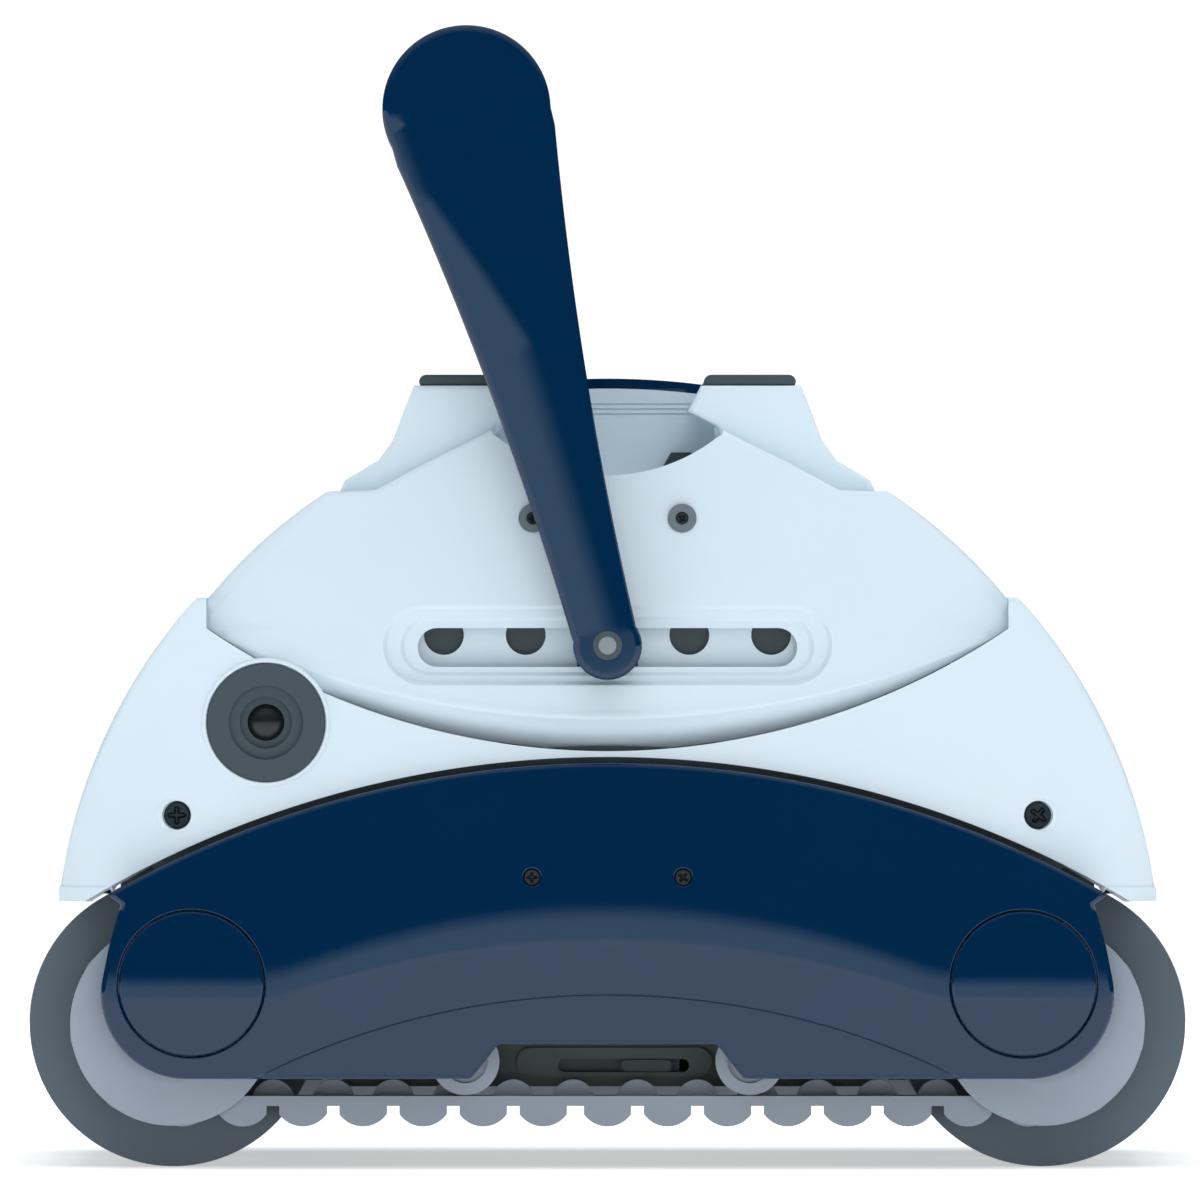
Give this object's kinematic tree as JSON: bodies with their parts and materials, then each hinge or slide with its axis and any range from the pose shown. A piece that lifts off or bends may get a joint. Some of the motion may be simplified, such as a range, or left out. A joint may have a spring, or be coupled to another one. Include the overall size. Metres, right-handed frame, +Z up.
{
  "type": "pool cleaner",
  "caption": "Twin-track robotic pool cleaner: domed white body over four ribbed brush rollers, toothed side belts, navy side panels and a swinging float handle that slides in slots.",
  "frame": {"origin": "on the floor under the middle of the robot", "axes": "+X along the robot towards its front rollers, +Y to its left, +Z up"},
  "size_m": [0.418, 0.404, 0.4116],
  "materials": {
    "white_abs": "moulded, satin gloss",
    "navy_abs": "moulded, high gloss",
    "dark_rubber": "moulded, matt",
    "olive_polypropylene": "moulded, fine texture",
    "grey_nylon": "moulded, satin",
    "grey_belt_rubber": "moulded, satin",
    "brush_rubber": "moulded, matt",
    "dark_nylon": "moulded, satin",
    "black_steel": "blackened",
    "stainless_steel": "turned",
    "grey_abs": "moulded, satin",
    "filter_mesh": "pleated fine mesh in a moulded frame",
    "float_foam": "closed-cell foam",
    "black_nylon": "polished"
  },
  "bodies": {
    "root": {"base_frame": "olive_polypropylene", "lower_skirt": "white_abs", "upper_shell": "white_abs", "turret": "white_abs", "outlet_grille": "navy_abs", "top_pads": "dark_rubber", "side_panel_right": "navy_abs", "side_panel_left": "navy_abs", "hub_caps": "navy_abs", "panel_screws": "black_steel", "skirt_screws": "black_steel", "wall_screws": "black_steel", "wall_bushes": "dark_nylon", "notch_plates": "white_abs", "cable_gland": "dark_nylon", "gland_nut": "dark_nylon", "bumper_rings": "dark_rubber", "motor_unit": "grey_abs", "motor_seal": "dark_rubber", "motor_cover": "grey_abs", "duct_tube": "grey_abs", "filter_panel_front": "filter_mesh", "filter_panel_rear": "filter_mesh", "belt_right": "grey_belt_rubber", "belt_left": "grey_belt_rubber", "idler_pins": "stainless_steel", "axle_bushes": "dark_nylon", "lid_hinge_pins": "stainless_steel"},
    "roller_front_right": {"wheel_front_right": "grey_nylon", "brush_core_front_right": "grey_nylon", "brush_sleeve_front_right": "brush_rubber"},
    "idler_front_right": {"idler_front_right": "grey_nylon"},
    "roller_front_left": {"wheel_front_left": "grey_nylon", "brush_core_front_left": "grey_nylon", "brush_sleeve_front_left": "brush_rubber"},
    "idler_front_left": {"idler_front_left": "grey_nylon"},
    "roller_rear_right": {"wheel_rear_right": "grey_nylon", "brush_core_rear_right": "grey_nylon", "brush_sleeve_rear_right": "brush_rubber"},
    "idler_rear_right": {"idler_rear_right": "grey_nylon"},
    "roller_rear_left": {"wheel_rear_left": "grey_nylon", "brush_core_rear_left": "grey_nylon", "brush_sleeve_rear_left": "brush_rubber"},
    "idler_rear_left": {"idler_rear_left": "grey_nylon"},
    "drive_right": {"drive_pulley_right": "grey_nylon"},
    "ball_right": {"bumper_ball_right": "black_nylon"},
    "drive_left": {"drive_pulley_left": "grey_nylon"},
    "ball_left": {"bumper_ball_left": "black_nylon"},
    "impeller": {"impeller": "navy_abs"},
    "filter_lid": {"filter_lid": "olive_polypropylene"},
    "flap_front": {"inlet_flap_front": "dark_rubber"},
    "flap_rear": {"inlet_flap_rear": "dark_rubber"},
    "lid_latch": {"lid_latch": "dark_nylon"},
    "handle_carriage": {"pivot_carriages": "dark_nylon", "pivot_pins": "stainless_steel"},
    "handle": {"handle_arm_right": "navy_abs", "handle_arm_left": "navy_abs", "float_bar": "navy_abs", "float_core": "float_foam"}
  },
  "joints": [
    {"name": "roller_front_right_spin", "type": "hinge", "parent": "root", "child": "roller_front_right", "pos_m": [0.157, -0.075, 0.052], "axis": [0, 1, 0], "continuous": true},
    {"name": "roller_rear_right_spin", "type": "hinge", "parent": "root", "child": "roller_rear_right", "pos_m": [-0.157, -0.075, 0.052], "axis": [0, 1, 0], "continuous": true},
    {"name": "idler_front_right_spin", "type": "hinge", "parent": "root", "child": "idler_front_right", "pos_m": [0.0513, -0.167, 0.0385], "axis": [0, 1, 0], "continuous": true},
    {"name": "idler_rear_right_spin", "type": "hinge", "parent": "root", "child": "idler_rear_right", "pos_m": [-0.0513, -0.167, 0.0385], "axis": [0, 1, 0], "continuous": true},
    {"name": "drive_right_spin", "type": "hinge", "parent": "root", "child": "drive_right", "pos_m": [0, -0.156, 0.0606], "axis": [0, 1, 0], "continuous": true},
    {"name": "roller_front_left_spin", "type": "hinge", "parent": "root", "child": "roller_front_left", "pos_m": [0.157, 0.075, 0.052], "axis": [0, 1, 0], "continuous": true},
    {"name": "roller_rear_left_spin", "type": "hinge", "parent": "root", "child": "roller_rear_left", "pos_m": [-0.157, 0.075, 0.052], "axis": [0, 1, 0], "continuous": true},
    {"name": "idler_front_left_spin", "type": "hinge", "parent": "root", "child": "idler_front_left", "pos_m": [0.0513, 0.167, 0.0385], "axis": [0, 1, 0], "continuous": true},
    {"name": "idler_rear_left_spin", "type": "hinge", "parent": "root", "child": "idler_rear_left", "pos_m": [-0.0513, 0.167, 0.0385], "axis": [0, 1, 0], "continuous": true},
    {"name": "drive_left_spin", "type": "hinge", "parent": "root", "child": "drive_left", "pos_m": [0, 0.156, 0.0606], "axis": [0, 1, 0], "continuous": true},
    {"name": "ball_right_roll", "type": "hinge", "parent": "root", "child": "ball_right", "pos_m": [-0.123, -0.1819, 0.1607], "axis": [0, 0, 1], "continuous": true},
    {"name": "ball_left_roll", "type": "hinge", "parent": "root", "child": "ball_left", "pos_m": [0.123, 0.1819, 0.1607], "axis": [0, 0, 1], "continuous": true},
    {"name": "impeller_spin", "type": "hinge", "parent": "root", "child": "impeller", "pos_m": [0, 0, 0.233], "axis": [0, 0, 1], "continuous": true},
    {"name": "lid_swing", "type": "hinge", "parent": "root", "child": "filter_lid", "pos_m": [0, 0.128, 0.033], "axis": [1, 0, 0], "range_deg": [0, 95]},
    {"name": "flap_front_swing", "type": "hinge", "parent": "filter_lid", "child": "flap_front", "pos_m": [0.0705, 0, 0.0333], "axis": [0, 1, 0], "range_deg": [0, 75]},
    {"name": "flap_rear_swing", "type": "hinge", "parent": "filter_lid", "child": "flap_rear", "pos_m": [-0.0705, 0, 0.0333], "axis": [0, -1, 0], "range_deg": [0, 75]},
    {"name": "latch_slide", "type": "slide", "parent": "root", "child": "lid_latch", "axis": [1, 0, 0], "range_m": [-0.022, 0.006]},
    {"name": "handle_shift", "type": "slide", "parent": "root", "child": "handle_carriage", "axis": [1, 0, 0], "range_m": [-0.059, 0.059]},
    {"name": "handle_swing", "type": "hinge", "parent": "handle_carriage", "child": "handle", "pos_m": [0, 0, 0.1884], "axis": [0, 1, 0], "range_deg": [-75, 104]}
  ],
  "couplings": [
    {"joint": "roller_rear_right_spin", "follows": "roller_front_right_spin", "ratio": 1},
    {"joint": "idler_front_right_spin", "follows": "roller_front_right_spin", "ratio": 2.2683},
    {"joint": "idler_rear_right_spin", "follows": "roller_front_right_spin", "ratio": 2.2683},
    {"joint": "drive_right_spin", "follows": "roller_front_right_spin", "ratio": 2.5364},
    {"joint": "roller_rear_left_spin", "follows": "roller_front_left_spin", "ratio": 1},
    {"joint": "idler_front_left_spin", "follows": "roller_front_left_spin", "ratio": 2.2683},
    {"joint": "idler_rear_left_spin", "follows": "roller_front_left_spin", "ratio": 2.2683},
    {"joint": "drive_left_spin", "follows": "roller_front_left_spin", "ratio": 2.5364}
  ]
}
